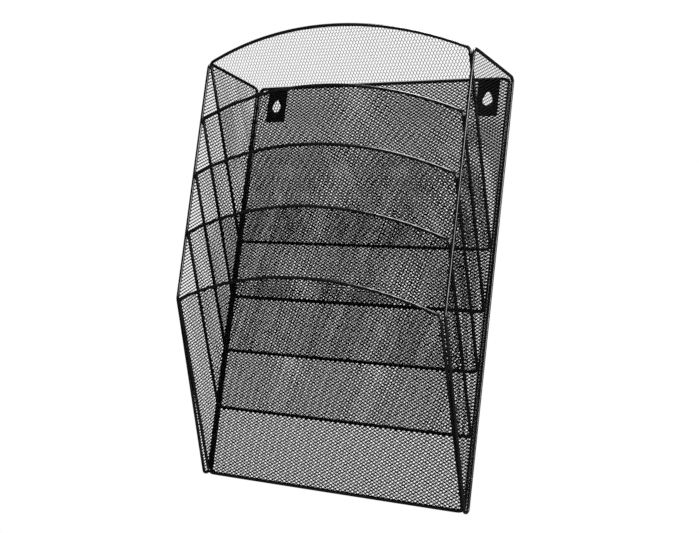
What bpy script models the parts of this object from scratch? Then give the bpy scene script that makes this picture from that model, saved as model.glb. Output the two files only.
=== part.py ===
"""Wall-hung rack with five leaning pockets, of steel mesh welded into loops of bent wire.

Every frame is one loop of round wire. The back frame stands upright against the wall,
with a side frame welded outside each of its side wires. Five equal pocket frames stand
one above another. Each is welded to the front of the back frame at its lower corners, and
leans out until its side wires meet the front wires of the side frames. A sheet of mesh
fills every loop. Two steel tabs with keyholes are welded behind the back frame's top wire.

Axes: +X to the right as seen from the front, -Y towards the front, +Z up. The origin is
on the wall, halfway between the two keyholes, at the height of the screws.
"""
import math

import bpy

# Wire frames, in metres. Widths, depths and heights run between wire centres.
WIRE = 0.0026
FRAME_WIDTH = 0.2509
FRAME_DEPTH = 0.0743
POCKET_SLANT = 0.1623    # from a pocket's bottom wire to its top corners, along the slope
POCKET_STEPS = (0.0584, 0.0511, 0.0486, 0.0503)   # from each pocket up to the next, lowest first
ARCH_RISE = 0.025        # middle of a pocket's arched top above its corners, along the slope
BACK_DROP = 0.0016       # top wire of the back frame below the corners of the top pocket
SIDE_LIFT = 0.0008       # front corners of a side frame above the pocket corners beside them
FOOT_DEPTH = 0.0062      # blunt lower tip of a side frame, front to back
FOOT_RADIUS = 0.003
CORNER_RADIUS = 0.005

# Mesh sheets
MESH_THICKNESS = 0.0008

# Hanging tabs. Drops run down from the centre of the back frame's top wire.
TAB_THICKNESS = 0.001
TAB_WIDTH = 0.020
TAB_DROP = 0.031
TAB_INSET = 0.0193       # centre of a tab inwards from the centre of the frame's side wire
TAB_CORNER_RADIUS = 0.0008
KEYHOLE_RADIUS = 0.0045
KEYHOLE_DROP = 0.0173
SLOT_RADIUS = 0.00225
SLOT_RISE = 0.0047       # centre of the narrow end above the centre of the round end
SCREW_MARGIN = 0.0015    # the back mesh is cut this much wider than the keyhole

# Clearance between pieces that touch, and how finely curves are cut
GAP = 0.0003
CORNER_STEPS = 5
ARCH_STEPS = 24
WIRE_BEVEL = 2

# Worked out from the sizes above
WIRE_PITCH = WIRE + GAP                          # between wires that lie side by side
MESH_INSET = WIRE / 2 + GAP                      # edge of a sheet inside its wire's centre
HALF_WIDTH = FRAME_WIDTH / 2
SIDE_PLANE = HALF_WIDTH + WIRE_PITCH             # x of a side frame's wire centres

# A pocket's arch is part of a circle, and bends down into each side wire
ARCH_RADIUS = (HALF_WIDTH ** 2 + ARCH_RISE ** 2) / (2 * ARCH_RISE)
ARCH_CENTRE = POCKET_SLANT + ARCH_RISE - ARCH_RADIUS
BEND_X = HALF_WIDTH - CORNER_RADIUS
BEND_Y = ARCH_CENTRE + math.sqrt((ARCH_RADIUS - CORNER_RADIUS) ** 2 - BEND_X ** 2)


def lean_from(seat):
    """Angle at which a pocket's side wires just reach the side frames' front wires, with its
    bottom wire this far in front of the back frame's wires."""
    return math.asin((FRAME_DEPTH - seat) / BEND_Y)


def corner_seat(lean):
    """How far in front a pocket's bottom wire lies when its rounded lower corners touch the
    back frame's side wires. The wire stays clear of the back mesh too."""
    seat = MESH_THICKNESS / 2 + GAP + WIRE / 2
    for degrees in range(91):
        angle = math.radians(degrees)
        across = CORNER_RADIUS * (1 - math.sin(angle))
        if across < WIRE_PITCH:
            forward = CORNER_RADIUS * (1 - math.cos(angle)) * math.sin(lean)
            seat = max(seat, math.sqrt(WIRE_PITCH ** 2 - across ** 2) - forward)
    return seat


LOW_SEAT = WIRE_PITCH    # the lowest pocket's bottom wire lies along the back frame's
LOW_LEAN = lean_from(LOW_SEAT)
SEAT = corner_seat(LOW_LEAN)
LEAN = lean_from(SEAT)
LOW_FRONT_HEIGHT = POCKET_SLANT * math.cos(LOW_LEAN) + SIDE_LIFT
TOP_POCKET_HEIGHT = sum(POCKET_STEPS) + POCKET_SLANT * math.cos(LEAN)
BACK_HEIGHT = TOP_POCKET_HEIGHT - BACK_DROP
BACK_PLANE = -(TAB_THICKNESS + GAP + WIRE / 2)   # y of the back frame's wire centres
BASE = KEYHOLE_DROP - SLOT_RISE - BACK_HEIGHT    # z of the back frame's bottom wire

UPRIGHT = (math.radians(90), 0, 0)               # drawn x runs to +X and drawn y up
SIDEWAYS = (math.radians(90), 0, math.radians(-90))   # drawn x runs forward and drawn y up


def arc(centre, radius, start, end, steps):
    """Points on an arc between two angles in radians, both ends included."""
    angles = [start + (end - start) * i / steps for i in range(steps + 1)]
    return [(centre[0] + radius * math.cos(a), centre[1] + radius * math.sin(a)) for a in angles]


def rounded_polygon(corners, radii, inset):
    """Convex outline, anticlockwise, moved inwards by inset. Each corner is rounded about
    the centre that it would have with no inset."""
    points = []
    for i, (x, y) in enumerate(corners):
        before, after = corners[i - 1], corners[(i + 1) % len(corners)]
        heading_in = math.atan2(y - before[1], x - before[0])
        heading_out = math.atan2(after[1] - y, after[0] - x)
        turn = (heading_out - heading_in) % (2 * math.pi)
        reach = radii[i] * math.tan(turn / 2)
        centre = (x - reach * math.cos(heading_in) - radii[i] * math.sin(heading_in),
                  y - reach * math.sin(heading_in) + radii[i] * math.cos(heading_in))
        start = heading_in - math.pi / 2
        points += arc(centre, radii[i] - inset, start, start + turn, CORNER_STEPS)
    return points


def back_outline(inset=0):
    """Upright rectangle, drawn from the middle of the bottom wire."""
    corners = [(-HALF_WIDTH, 0), (HALF_WIDTH, 0),
               (HALF_WIDTH, BACK_HEIGHT), (-HALF_WIDTH, BACK_HEIGHT)]
    return rounded_polygon(corners, [CORNER_RADIUS] * 4, inset)


def side_outline(inset=0):
    """Side view, drawn forward from the wall side and up from the foot."""
    corners = [(0, 0), (FOOT_DEPTH, 0), (FRAME_DEPTH, LOW_FRONT_HEIGHT),
               (FRAME_DEPTH, TOP_POCKET_HEIGHT + SIDE_LIFT), (0, BACK_HEIGHT)]
    radii = [FOOT_RADIUS, FOOT_RADIUS, CORNER_RADIUS, CORNER_RADIUS, CORNER_RADIUS]
    return rounded_polygon(corners, radii, inset)


def pocket_outline(inset=0):
    """Pocket front in its own plane, drawn from the middle of the bottom wire."""
    bend_angle = math.atan2(BEND_Y - ARCH_CENTRE, BEND_X)
    radius = CORNER_RADIUS - inset
    quarter = math.pi / 2
    points = arc((-BEND_X, CORNER_RADIUS), radius, 2 * quarter, 3 * quarter, CORNER_STEPS)
    points += arc((BEND_X, CORNER_RADIUS), radius, 3 * quarter, 4 * quarter, CORNER_STEPS)
    points += arc((BEND_X, BEND_Y), radius, 0, bend_angle, CORNER_STEPS)
    points += arc((0, ARCH_CENTRE), ARCH_RADIUS - inset, bend_angle, 2 * quarter - bend_angle,
                  ARCH_STEPS)[1:-1]
    points += arc((-BEND_X, BEND_Y), radius, 2 * quarter - bend_angle, 2 * quarter, CORNER_STEPS)
    return points


def keyhole_outline(centre_x, margin=0):
    """Round hole that narrows upwards to a slot, drawn as on the back frame."""
    lean = math.acos((KEYHOLE_RADIUS - SLOT_RADIUS) / SLOT_RISE)
    up = math.pi / 2
    round_end = (centre_x, BACK_HEIGHT - KEYHOLE_DROP)
    slot_end = (centre_x, round_end[1] + SLOT_RISE)
    points = arc(round_end, KEYHOLE_RADIUS + margin, up + lean, up + 2 * math.pi - lean,
                 3 * CORNER_STEPS)
    points += arc(slot_end, SLOT_RADIUS + margin, up - lean, up + lean, 2 * CORNER_STEPS)
    return points


def tab_outline(centre_x):
    """Plain plate that reaches from the top of the back frame's top wire down behind it."""
    left, right = centre_x - TAB_WIDTH / 2, centre_x + TAB_WIDTH / 2
    bottom, top = BACK_HEIGHT - TAB_DROP, BACK_HEIGHT + WIRE / 2
    corners = [(left, bottom), (right, bottom), (right, top), (left, top)]
    return rounded_polygon(corners, [TAB_CORNER_RADIUS] * 4, 0)


def add_curve(name, outlines, dimensions, place, turn, material):
    """Curve object with one closed spline for each outline."""
    curve = bpy.data.curves.new(name, "CURVE")
    curve.dimensions = dimensions
    for outline in outlines:
        spline = curve.splines.new("POLY")
        spline.points.add(len(outline) - 1)
        for point, (x, y) in zip(spline.points, outline):
            point.co = (x, y, 0, 1)
        spline.use_cyclic_u = True
    curve.materials.append(material)
    piece = bpy.data.objects.new(name, curve)
    piece.location = place
    piece.rotation_euler = turn
    rack.objects.link(piece)
    return piece


def add_wire(name, outline, place, turn):
    """Closed loop of round wire."""
    piece = add_curve(name, [outline], "3D", place, turn, wire_paint)
    piece.data.bevel_depth = WIRE / 2
    piece.data.bevel_resolution = WIRE_BEVEL


def add_sheet(name, outlines, thickness, place, turn, material):
    """Flat sheet, filled inside its first outline and open inside any others."""
    piece = add_curve(name, outlines, "2D", place, turn, material)
    piece.data.fill_mode = "BOTH"
    piece.data.extrude = thickness / 2


def add_material(name, grey, roughness):
    """Black paint on steel, which hides the metal under it."""
    material = bpy.data.materials.new(name)
    material.use_nodes = True
    shader = material.node_tree.nodes["Principled BSDF"]
    shader.inputs["Base Color"].default_value = (grey, grey, grey, 1)
    shader.inputs["Roughness"].default_value = roughness
    shader.inputs["Metallic"].default_value = 0
    return material


for old in list(bpy.data.objects):
    bpy.data.objects.remove(old, do_unlink=True)

rack = bpy.data.collections.new("newspaper_rack")
bpy.context.scene.collection.children.link(rack)
wire_paint = add_material("wire_paint", 0.012, 0.35)
mesh_paint = add_material("mesh_paint", 0.015, 0.5)
tab_paint = add_material("tab_paint", 0.012, 0.45)

tab_centres = {"left": -(HALF_WIDTH - TAB_INSET), "right": HALF_WIDTH - TAB_INSET}

# Back: an upright loop, and a sheet that is cut away in front of both keyholes
back_place = (0, BACK_PLANE, BASE)
add_wire("back_frame", back_outline(), back_place, UPRIGHT)
screw_cuts = [keyhole_outline(x, SCREW_MARGIN) for x in tab_centres.values()]
add_sheet("back_mesh", [back_outline(MESH_INSET)] + screw_cuts, MESH_THICKNESS,
          back_place, UPRIGHT, mesh_paint)

# Sides: outside the back frame's side wires
for side, x in (("left", -SIDE_PLANE), ("right", SIDE_PLANE)):
    side_place = (x, BACK_PLANE, BASE)
    add_wire(side + "_side_frame", side_outline(), side_place, SIDEWAYS)
    add_sheet(side + "_side_mesh", [side_outline(MESH_INSET)], MESH_THICKNESS,
              side_place, SIDEWAYS, mesh_paint)

# Pockets: five equal fronts, numbered from the lowest
for number in range(1, len(POCKET_STEPS) + 2):
    seat, lean = (LOW_SEAT, LOW_LEAN) if number == 1 else (SEAT, LEAN)
    pocket_place = (0, BACK_PLANE - seat, BASE + sum(POCKET_STEPS[:number - 1]))
    pocket_turn = (math.radians(90) + lean, 0, 0)
    add_wire(f"pocket_{number}_frame", pocket_outline(), pocket_place, pocket_turn)
    add_sheet(f"pocket_{number}_mesh", [pocket_outline(MESH_INSET)], MESH_THICKNESS,
              pocket_place, pocket_turn, mesh_paint)

# Hanging tabs: flat against the wall, behind the back frame's top wire
tab_place = (0, -TAB_THICKNESS / 2, BASE)
for side, x in tab_centres.items():
    add_sheet(side + "_hanging_tab", [tab_outline(x), keyhole_outline(x)], TAB_THICKNESS,
              tab_place, UPRIGHT, tab_paint)
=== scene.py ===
"""Wall-hung newspaper rack: five leaning pockets of black expanded steel mesh in bent wire frames."""
import math

import bpy
from mathutils import Matrix, Quaternion, Vector


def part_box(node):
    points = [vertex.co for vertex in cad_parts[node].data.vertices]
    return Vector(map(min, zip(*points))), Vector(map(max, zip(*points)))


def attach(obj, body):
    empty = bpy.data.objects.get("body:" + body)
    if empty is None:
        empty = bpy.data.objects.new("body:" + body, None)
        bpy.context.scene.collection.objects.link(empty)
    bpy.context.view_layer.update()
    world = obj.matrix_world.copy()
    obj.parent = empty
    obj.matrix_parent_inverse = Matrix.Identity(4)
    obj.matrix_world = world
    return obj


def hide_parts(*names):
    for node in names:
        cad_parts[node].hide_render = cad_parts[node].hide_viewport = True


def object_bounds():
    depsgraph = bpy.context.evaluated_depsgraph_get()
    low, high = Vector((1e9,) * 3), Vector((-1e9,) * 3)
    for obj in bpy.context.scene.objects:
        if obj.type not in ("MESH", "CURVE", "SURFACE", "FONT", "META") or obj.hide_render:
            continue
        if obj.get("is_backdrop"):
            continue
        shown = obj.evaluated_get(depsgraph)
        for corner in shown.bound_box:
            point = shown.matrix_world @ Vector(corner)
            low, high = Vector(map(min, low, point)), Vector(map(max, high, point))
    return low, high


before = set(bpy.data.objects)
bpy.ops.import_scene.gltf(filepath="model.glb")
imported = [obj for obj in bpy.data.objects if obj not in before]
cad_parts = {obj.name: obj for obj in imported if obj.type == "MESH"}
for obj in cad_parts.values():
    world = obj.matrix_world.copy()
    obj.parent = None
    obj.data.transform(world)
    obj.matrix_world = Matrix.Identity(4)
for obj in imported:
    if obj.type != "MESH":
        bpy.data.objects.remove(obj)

cad_low, cad_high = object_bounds()
bpy.ops.object.select_all(action="DESELECT")

# ---------------------------------------------------------------- Camera
# It stands to the right of the rack and below its middle, looks a little upwards, and is
# turned about its own axis so that the rack leans clockwise.
CAMERA_AIM = Vector((0, -0.0134, -0.150))    # just inside the pockets, near the middle
CAMERA_DISTANCE = 1.0697
CAMERA_AZIMUTH = math.radians(32.0)
CAMERA_RISE = math.radians(6.79)
CAMERA_ROLL = math.radians(6.745)
LENS = 65.05

looking = Vector((-math.sin(CAMERA_AZIMUTH) * math.cos(CAMERA_RISE),
                  math.cos(CAMERA_AZIMUTH) * math.cos(CAMERA_RISE), math.sin(CAMERA_RISE)))
bpy.ops.object.camera_add(location=CAMERA_AIM - CAMERA_DISTANCE * looking)
camera = bpy.context.object
camera.name = "camera"
roll = Quaternion((0, 0, 1), CAMERA_ROLL)
camera.rotation_euler = (looking.to_track_quat("-Z", "Y") @ roll).to_euler()
camera.data.lens = LENS
bpy.context.scene.camera = camera

# ---------------------------------------------------------------- Wire frames
# Each frame is one length of 2.6 mm drawn steel wire, bent round a form and butt-welded into a
# loop. The loops are spot-welded to each other and then powder coated black all together.
WIRE = 0.0026
WIRE_BLACK = "#0f0f11"
# A Subdivision Surface draws an eight-sided tube in to this share of its radius.
ROUNDED_SHARE = (4 + 2 * math.cos(math.radians(45))) / 6
BUTT_LENGTH = 0.0005     # length of the sunken ring at a butt weld
BUTT_SHARE = 0.80        # its width beside the wire's
BACK_BUTT = 0.021        # butt weld of the back frame, to the right of the middle
SIDE_BUTT = 0.028        # butt welds of the side frames, above their feet
POCKET_BUTT = 0.017      # butt welds of the pocket frames, from the middle, by turns each way
LOOSE = 0.00001          # points closer than this are one

# Powder coat: one grain of its orange peel, the patches of uneven gloss measured in grains,
# the peel's depth and strength, and how far the patches darken and lighten the colour.
GRAIN = 0.0009
PATCH_GRAINS = 18
PEEL_DEPTH = 0.00004
PEEL_STRENGTH = 0.25
THICK_SHADE, THIN_SHADE = 0.82, 1.25
GLOSSIER, DULLER = 0.05, 0.07    # how far the roughness runs each way
WIRE_ROUGHNESS = 0.22


def linear(colour):
    """sRGB hex to the linear colour that a shader takes."""
    parts = [int(colour[i:i + 2], 16) / 255 for i in (1, 3, 5)]
    return [p / 12.92 if p <= 0.04045 else ((p + 0.055) / 1.055) ** 2.4 for p in parts] + [1]


def add_node(material, kind, settings=None, links=None):
    """Adds a node, sets its properties or sockets, and links its sockets from other nodes."""
    node = material.node_tree.nodes.new(kind)
    for name, value in (settings or {}).items():
        if name in node.inputs:
            node.inputs[name].default_value = value
        else:
            setattr(node, name, value)
    for name, output in (links or {}).items():
        material.node_tree.links.new(output, node.inputs[name])
    return node


def powder_coat(name, colour, grain, roughness, gloss_level=0.5):
    """Baked polyester powder coat: a skin that flows into a fine orange peel, never quite even
    in gloss, and a little greyer where it lies thin."""
    material = bpy.data.materials.new(name)
    material.use_nodes = True
    shader = material.node_tree.nodes["Principled BSDF"]
    shader.inputs["IOR"].default_value = 1.5
    shader.inputs["Specular IOR Level"].default_value = gloss_level
    place = add_node(material, "ShaderNodeTexCoord").outputs["Object"]
    peel = add_node(material, "ShaderNodeTexNoise",
                    {"Scale": 1 / grain, "Detail": 2.0, "Roughness": 0.5}, {"Vector": place})
    patches = add_node(material, "ShaderNodeTexNoise",
                       {"Scale": 1 / (PATCH_GRAINS * grain), "Detail": 3.0}, {"Vector": place})
    tint = add_node(material, "ShaderNodeValToRGB", links={"Fac": patches.outputs["Fac"]})
    dark = linear(colour)
    tint.color_ramp.elements[0].position = 0.35
    tint.color_ramp.elements[0].color = [THICK_SHADE * c for c in dark[:3]] + [1]
    tint.color_ramp.elements[1].position = 0.70
    tint.color_ramp.elements[1].color = [THIN_SHADE * c for c in dark[:3]] + [1]
    gloss = add_node(material, "ShaderNodeMapRange",
                     {"To Min": roughness - GLOSSIER, "To Max": roughness + DULLER},
                     {"Value": patches.outputs["Fac"]})
    bump = add_node(material, "ShaderNodeBump",
                    {"Strength": PEEL_STRENGTH, "Distance": PEEL_DEPTH},
                    {"Height": peel.outputs["Fac"]})
    material.node_tree.links.new(tint.outputs["Color"], shader.inputs["Base Color"])
    material.node_tree.links.new(gloss.outputs["Result"], shader.inputs["Roughness"])
    material.node_tree.links.new(bump.outputs["Normal"], shader.inputs["Normal"])
    return material


wire_coat = powder_coat("black_powder_coat_on_wire", WIRE_BLACK, GRAIN, WIRE_ROUGHNESS)


def only(piece):
    """Selects one object and makes it the active one."""
    bpy.ops.object.select_all(action="DESELECT")
    bpy.context.view_layer.objects.active = piece
    piece.select_set(True)


def copy_of_cad(node, name):
    """Copy of a CAD node, with its loose triangles joined, open in edit mode."""
    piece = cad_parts[node].copy()
    piece.data = piece.data.copy()
    piece.data.materials.clear()
    for key in list(piece.keys()):
        del piece[key]
    piece.parent = None
    piece.name = piece.data.name = name
    bpy.context.scene.collection.objects.link(piece)
    only(piece)
    bpy.ops.object.mode_set(mode="EDIT")
    bpy.ops.mesh.select_mode(type="VERT")
    bpy.ops.mesh.select_all(action="SELECT")
    bpy.ops.mesh.remove_doubles(threshold=LOOSE)
    return piece


def apply_modifier(piece, kind, **settings):
    """Gives the active object a modifier and applies it at once."""
    modifier = piece.modifiers.new(kind.title(), kind)
    for name, value in settings.items():
        setattr(modifier, name, value)
    bpy.ops.object.modifier_apply(modifier=modifier.name)


def select_between(piece, low, high):
    """In edit mode, selects just the vertices inside a box."""
    bpy.ops.mesh.select_all(action="DESELECT")
    bpy.ops.object.mode_set(mode="OBJECT")
    for vertex in piece.data.vertices:
        vertex.select = all(low[i] <= vertex.co[i] <= high[i] for i in range(3))
    bpy.ops.object.mode_set(mode="EDIT")


def round_wire(node, butt, along):
    """Wire loop with a round section. butt is where its ends were welded, on a stretch that
    runs along the given direction. Only the middle one of five cuts there is drawn in."""
    piece = copy_of_cad(node, node + "_wire")
    bpy.ops.transform.shrink_fatten(value=WIRE / 2 * (1 / ROUNDED_SHARE - 1))
    bpy.ops.object.mode_set(mode="OBJECT")
    apply_modifier(piece, "SUBSURF", levels=2, render_levels=2)
    bpy.ops.object.mode_set(mode="EDIT")
    for step in (-2, -1, 0, 1, 2):
        bpy.ops.mesh.select_all(action="SELECT")
        bpy.ops.mesh.bisect(plane_co=butt + along * (step * BUTT_LENGTH / 2), plane_no=along)
    bpy.ops.mesh.select_all(action="DESELECT")
    bpy.ops.object.mode_set(mode="OBJECT")
    for vertex in piece.data.vertices:
        offset = vertex.co - butt
        lengthwise = offset.dot(along)
        aside = (offset - along * lengthwise).length
        vertex.select = abs(lengthwise) < BUTT_LENGTH / 4 and aside < WIRE
    bpy.ops.object.mode_set(mode="EDIT")
    share = [BUTT_SHARE if abs(c) < 0.5 else 1 for c in along]
    bpy.ops.transform.resize(value=share)
    bpy.ops.object.mode_set(mode="OBJECT")
    bpy.ops.object.shade_smooth()
    piece.data.materials.append(wire_coat)
    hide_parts(node)
    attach(piece, "root")


UP = Vector((0, 0, 1))
RIGHT = Vector((1, 0, 0))
low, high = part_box("back_frame")
round_wire("back_frame", Vector((BACK_BUTT, (low.y + high.y) / 2, low.z + WIRE / 2)), RIGHT)
for side in ("left", "right"):
    low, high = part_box(side + "_side_frame")
    butt = Vector(((low.x + high.x) / 2, high.y - WIRE / 2, low.z + SIDE_BUTT))
    round_wire(side + "_side_frame", butt, UP)
pocket_numbers = range(1, 6)
for number in pocket_numbers:
    low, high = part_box(f"pocket_{number}_frame")
    butt = Vector((-POCKET_BUTT * (-1) ** number, high.y - WIRE / 2, low.z + WIRE / 2))
    round_wire(f"pocket_{number}_frame", butt, RIGHT)

# ---------------------------------------------------------------- Expanded mesh sheets
# Thin steel sheet, slit in staggered rows and pulled open, which turns every strand up on
# edge. Bonds, left uncut between the slits, hold the tilted strands together. The sheets are
# cut to the frames and welded in along the wires before the coat goes on.
LONG_WAY = 0.0049        # bond to bond along the slits, on every sheet
# Short way: bond to bond across the slits, which is how far the sheet was pulled open. Bond:
# length of a bond. Width and thickness: of one strand. Tilt: degrees by which the far side of
# each bond, across the slits, leans out of the sheet.
POCKET_MESH = {"short_way": 0.00284, "bond": 0.0008,
               "width": 0.00050, "thickness": 0.00029, "tilt": -57}
BACK_MESH = {"short_way": 0.00277, "bond": 0.0013,
             "width": 0.00074, "thickness": 0.00038, "tilt": 36}
RIGHT_MESH = {"short_way": 0.00280, "bond": 0.0009,
              "width": 0.00057, "thickness": 0.00014, "tilt": -50}
LEFT_MESH = {"short_way": 0.00308, "bond": 0.0011,
             "width": 0.00090, "thickness": 0.00018, "tilt": 50}
INTO_WIRE = 0.0008       # strand ends run this far past the CAD sheet, into the weld
MESH_BLACK = "#0b0b0c"
MESH_ROUGHNESS = 0.42
MESH_GLOSS = 0.12        # the thin coat on strands shines less than a wire's
STRAND_LOOSE = 0.00002   # strands and bonds closer than this meet
ON_CUT = 0.000001        # points closer than this to a cut lie on it
INSIDE = 0.00005         # a wall with more of the sheet than this beyond it is an opening's

mesh_coat = powder_coat("black_powder_coat_on_mesh", MESH_BLACK, GRAIN, MESH_ROUGHNESS,
                        MESH_GLOSS)


def expanded_metal(name, mesh, columns, rows):
    """Open lattice in the XY plane, centred, with its long way along X and facing +Z. One
    bond is drawn as a flat hexagon, and a strand is drawn out of each slanted upper edge."""
    short_way, bond, tilt = mesh["short_way"], mesh["bond"], math.radians(mesh["tilt"])
    across, lift = mesh["width"] * math.cos(tilt), mesh["width"] * math.sin(tilt)
    bpy.ops.mesh.primitive_circle_add(vertices=6, radius=bond / 2, fill_type="NGON",
                                      rotation=(0, 0, math.radians(90)))
    bpy.ops.object.transform_apply(rotation=True)
    sheet = bpy.context.object
    sheet.name = sheet.data.name = name
    bpy.ops.object.mode_set(mode="EDIT")
    bpy.ops.mesh.select_mode(type="VERT")
    bpy.ops.mesh.select_all(action="SELECT")
    half_height = bond / 2 * math.sin(math.radians(60))
    bpy.ops.transform.resize(value=(1, across / half_height, 1))
    bpy.ops.object.mode_set(mode="OBJECT")
    for vertex in sheet.data.vertices:
        vertex.co.z = vertex.co.y / across * lift
    bpy.ops.object.mode_set(mode="EDIT")
    run = LONG_WAY / 2 - bond / 2 - bond / 4
    for way in (1, -1):
        select_between(sheet, (min(0, way), -across / 2, -1), (max(0, way), 1, 1))
        bpy.ops.mesh.extrude_edges_move(
            TRANSFORM_OT_translate={"value": (way * run, short_way / 2 - across, -lift)})
    bpy.ops.mesh.select_all(action="SELECT")
    bpy.ops.mesh.duplicate_move(
        TRANSFORM_OT_translate={"value": (LONG_WAY / 2, short_way / 2, 0)})
    bpy.ops.object.mode_set(mode="OBJECT")
    apply_modifier(sheet, "ARRAY", use_relative_offset=False, use_constant_offset=True,
                   constant_offset_displace=(LONG_WAY, 0, 0), count=columns)
    apply_modifier(sheet, "ARRAY", use_relative_offset=False, use_constant_offset=True,
                   constant_offset_displace=(0, short_way, 0), count=rows)
    bpy.ops.object.mode_set(mode="EDIT")
    bpy.ops.mesh.select_all(action="SELECT")
    bpy.ops.mesh.remove_doubles(threshold=STRAND_LOOSE)
    bpy.ops.mesh.normals_make_consistent(inside=False)
    bpy.ops.transform.translate(value=(-LONG_WAY * columns / 2, -short_way * rows / 2, 0))
    bpy.ops.object.mode_set(mode="OBJECT")
    return sheet


def plane_of(node, outward):
    """Matrix whose axes are a CAD sheet's across, up and outward directions, at its middle."""
    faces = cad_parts[node].data.polygons
    normal = max(faces, key=lambda face: face.area).normal.copy()
    normal *= 1 if normal.dot(outward) > 0 else -1
    across = UP.cross(normal).normalized()
    low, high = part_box(node)
    turn = Matrix((across, normal.cross(across), normal)).transposed().to_4x4()
    return Matrix.Translation((low + high) / 2) @ turn


def edge_walls(node, normal):
    """Each wall of a CAD sheet's edge as a point and a direction out of the sheet: those of
    its outline, and those of any opening."""
    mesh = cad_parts[node].data
    outline, opening, seen = [], [], set()
    for face in mesh.polygons:
        if abs(face.normal.dot(normal)) > 0.5:
            continue
        key = tuple(round(c, 3) for c in face.normal)
        reach = max((v.co - face.center).dot(face.normal) for v in mesh.vertices)
        if reach > INSIDE:
            opening.append((face.center.copy(), face.normal.copy()))
        elif key not in seen:
            seen.add(key)
            outline.append((face.center.copy(), face.normal.copy()))
    return outline, opening


def trim(sheet, walls):
    """Cuts a sheet off outside each wall of its outline."""
    only(sheet)
    bpy.ops.object.mode_set(mode="EDIT")
    for point, outward in walls:
        bpy.ops.mesh.select_all(action="SELECT")
        bpy.ops.mesh.bisect(plane_co=point + outward * INTO_WIRE, plane_no=outward,
                            clear_outer=True, threshold=ON_CUT)
    bpy.ops.object.mode_set(mode="OBJECT")


def finish_sheet(sheet, mesh, node):
    """Gives a trimmed lattice the thickness of its strands, its coat and its place."""
    only(sheet)
    apply_modifier(sheet, "SOLIDIFY", thickness=mesh["thickness"], offset=0)
    bpy.ops.object.shade_smooth()
    sheet.data.materials.clear()
    sheet.data.materials.append(mesh_coat)
    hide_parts(node)
    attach(sheet, "root")


def cut_sheet(name, mesh, node, outward, upright=False):
    """Lattice laid in a CAD sheet's plane and trimmed to it, its long way level or upright."""
    plane = plane_of(node, outward)
    normal = plane.to_3x3().col[2]
    local = [plane.inverted() @ v.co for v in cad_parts[node].data.vertices]
    width = 2 * max(abs(p.x) for p in local) + 2 * LONG_WAY
    height = 2 * max(abs(p.y) for p in local) + 2 * LONG_WAY
    if upright:
        width, height = height, width
        plane = plane @ Matrix.Rotation(math.radians(90), 4, "Z")
    columns, rows = math.ceil(width / LONG_WAY), math.ceil(height / mesh["short_way"])
    sheet = expanded_metal(name, mesh, columns, rows)
    sheet.data.transform(plane)
    trim(sheet, edge_walls(node, normal)[0])
    return sheet


FRONT = Vector((0, -1, 0))
LEFT = Vector((-1, 0, 0))

# Side sheets: level long way. The same face is to the left on both, so that their strands
# lean the same way.
sheet = cut_sheet("left_side_expanded_mesh", LEFT_MESH, "left_side_mesh", LEFT)
finish_sheet(sheet, LEFT_MESH, "left_side_mesh")
sheet = cut_sheet("right_side_expanded_mesh", RIGHT_MESH, "right_side_mesh", RIGHT)
finish_sheet(sheet, RIGHT_MESH, "right_side_mesh")

# Pocket sheets: upright long way. All five are cut from one pattern.
pattern = cut_sheet("pocket_1_expanded_mesh", POCKET_MESH, "pocket_1_mesh", FRONT, True)
pattern_place = plane_of("pocket_1_mesh", FRONT)
for number in reversed(pocket_numbers):
    sheet = pattern
    if number > 1:
        sheet = pattern.copy()
        sheet.data = pattern.data.copy()
        sheet.name = sheet.data.name = f"pocket_{number}_expanded_mesh"
        bpy.context.scene.collection.objects.link(sheet)
        sheet.data.transform(plane_of(f"pocket_{number}_mesh", FRONT) @ pattern_place.inverted())
    finish_sheet(sheet, POCKET_MESH, f"pocket_{number}_mesh")

FLAT = math.radians(1)   # faces that turn less than this are one flat face

# Back sheet: level long way, snipped out in front of the keyholes. It is kept as an upper
# and a lower part, which meet behind the bottom wire of the fourth pocket.
back = cut_sheet("back_expanded_mesh_lower", BACK_MESH, "back_mesh", FRONT)
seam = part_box("pocket_4_frame")[0].z + WIRE
openings = edge_walls("back_mesh", FRONT)[1]
bpy.context.tool_settings.mesh_select_mode = (False, False, True)
for at_left in (True, False):
    walls = [(p, d) for p, d in openings if (p.x < 0) == at_left]
    middle = sum((p for p, d in walls), Vector()) / len(walls)
    reach = max((p - middle).length for p, d in walls) + LONG_WAY
    only(back)
    for face in back.data.polygons:
        face.select = (face.center - middle).length < reach
    bpy.ops.object.mode_set(mode="EDIT")
    bpy.ops.mesh.separate(type="SELECTED")
    bpy.ops.object.mode_set(mode="OBJECT")
    patch = [piece for piece in bpy.context.selected_objects if piece is not back][0]
    only(patch)
    bpy.ops.object.mode_set(mode="EDIT")
    for point, inward in walls:
        bpy.ops.mesh.select_all(action="SELECT")
        bpy.ops.mesh.bisect(plane_co=point, plane_no=inward, threshold=ON_CUT)
    bpy.ops.mesh.select_all(action="DESELECT")
    bpy.ops.object.mode_set(mode="OBJECT")
    for face in patch.data.polygons:
        face.select = all((face.center - p).dot(d) > 0 for p, d in walls)
    bpy.ops.object.mode_set(mode="EDIT")
    bpy.ops.mesh.delete(type="FACE")
    bpy.ops.mesh.select_all(action="SELECT")
    bpy.ops.mesh.dissolve_limited(angle_limit=FLAT)
    bpy.ops.object.mode_set(mode="OBJECT")
    back.select_set(True)
    bpy.context.view_layer.objects.active = back
    bpy.ops.object.join()
bpy.ops.object.mode_set(mode="EDIT")
bpy.ops.mesh.select_all(action="SELECT")
bpy.ops.mesh.remove_doubles(threshold=LOOSE)
bpy.ops.object.mode_set(mode="OBJECT")
upper = back.copy()
upper.data = back.data.copy()
upper.name = upper.data.name = "back_expanded_mesh_upper"
bpy.context.scene.collection.objects.link(upper)
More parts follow.
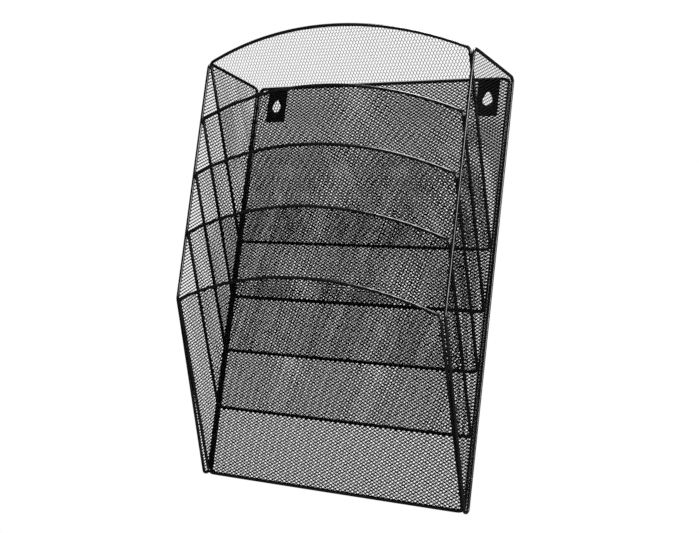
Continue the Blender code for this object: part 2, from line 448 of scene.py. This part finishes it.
for sheet, direction in ((back, UP), (upper, -UP)):
    trim(sheet, [(Vector((0, 0, seam)) - direction * INTO_WIRE, direction)])
    finish_sheet(sheet, BACK_MESH, "back_mesh")

# ---------------------------------------------------------------- Hanging tabs
# Two stamped plates of 1 mm steel, welded behind the top wire. The press leaves their edges
# slightly rounded, and the coat rounds them a little more.
TAB_BLACK = "#0b0b0c"
TAB_EDGE = 0.00018       # width of the rounding
TAB_GRAIN = 0.0012       # the coat flows into a coarser peel on a flat plate
TAB_ROUGHNESS = 0.40
TAB_GLOSS = 0.2
SHARP = math.radians(60)         # edges that turn more than this are rounded
CURVED = math.radians(35)        # faces that turn less than this are shaded as one curve

tab_coat = powder_coat("black_powder_coat_on_plate", TAB_BLACK, TAB_GRAIN, TAB_ROUGHNESS,
                       TAB_GLOSS)
for side in ("left", "right"):
    tab = copy_of_cad(side + "_hanging_tab", side + "_tab_plate")
    bpy.ops.mesh.dissolve_limited(angle_limit=FLAT)
    bpy.ops.object.mode_set(mode="OBJECT")
    apply_modifier(tab, "BEVEL", width=TAB_EDGE, segments=2, limit_method="ANGLE",
                   angle_limit=SHARP)
    bpy.ops.object.shade_smooth_by_angle(angle=CURVED)
    tab.data.materials.append(tab_coat)
    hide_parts(side + "_hanging_tab")
    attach(tab, "root")

# ---------------------------------------------------------------- Floor and light
# A pale painted floor well below the rack, in a white room. Two soft boxes draw the streaks
# along the wires: one overhead, for the arches, and an upright one at the right, for the
# upright wires. Gloss reflects little else, as in a studio with black flags round the object.
FLOOR_DROP = 0.9         # floor below the rack's foot
FLOOR_RADIUS = 6.5
FLOOR_PAINT = "#f4f4f4"
FLOOR_ROUGHNESS = 0.8
ROOM_GLOSS = 0.02        # how brightly the white room shows in gloss

bpy.ops.mesh.primitive_circle_add(vertices=96, radius=FLOOR_RADIUS, fill_type="NGON",
                                  location=(0, 0, cad_low.z - FLOOR_DROP))
floor = bpy.context.object
floor.name = "floor"
paint = bpy.data.materials.new("pale_floor_paint")
paint.use_nodes = True
shader = paint.node_tree.nodes["Principled BSDF"]
shader.inputs["Base Color"].default_value = linear(FLOOR_PAINT)
shader.inputs["Roughness"].default_value = FLOOR_ROUGHNESS
floor.data.materials.append(paint)
floor.visible_glossy = False
floor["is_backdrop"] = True

world = bpy.data.worlds.new("white_room")
bpy.context.scene.world = world
world.use_nodes = True
background = world.node_tree.nodes["Background"]
background.inputs["Color"].default_value = (1, 1, 1, 1)
ray = world.node_tree.nodes.new("ShaderNodeLightPath")
strength = world.node_tree.nodes.new("ShaderNodeMapRange")
strength.inputs["To Min"].default_value = 1.0
strength.inputs["To Max"].default_value = ROOM_GLOSS
world.node_tree.links.new(ray.outputs["Is Glossy Ray"], strength.inputs["Value"])
world.node_tree.links.new(strength.outputs["Result"], background.inputs["Strength"])
bpy.context.scene.view_settings.view_transform = "Standard"

rack_middle = (cad_low + cad_high) / 2
for name, offset, aim, width, length, power in (
        ("overhead_light", Vector((-0.08, -0.10, 1.2)), -UP, 0.5, 0.8, 36),
        ("right_light", Vector((1.25, -0.35, 0.25)), Vector((-1, 0.3, -0.15)), 0.35, 0.8, 26)):
    bpy.ops.object.light_add(type="AREA", location=rack_middle + offset)
    light = bpy.context.object
    light.name = name
    light.rotation_euler = aim.to_track_quat("-Z", "Y").to_euler()
    light.data.shape = "RECTANGLE"
    light.data.size = width
    light.data.size_y = length
    light.data.energy = power

low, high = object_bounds()
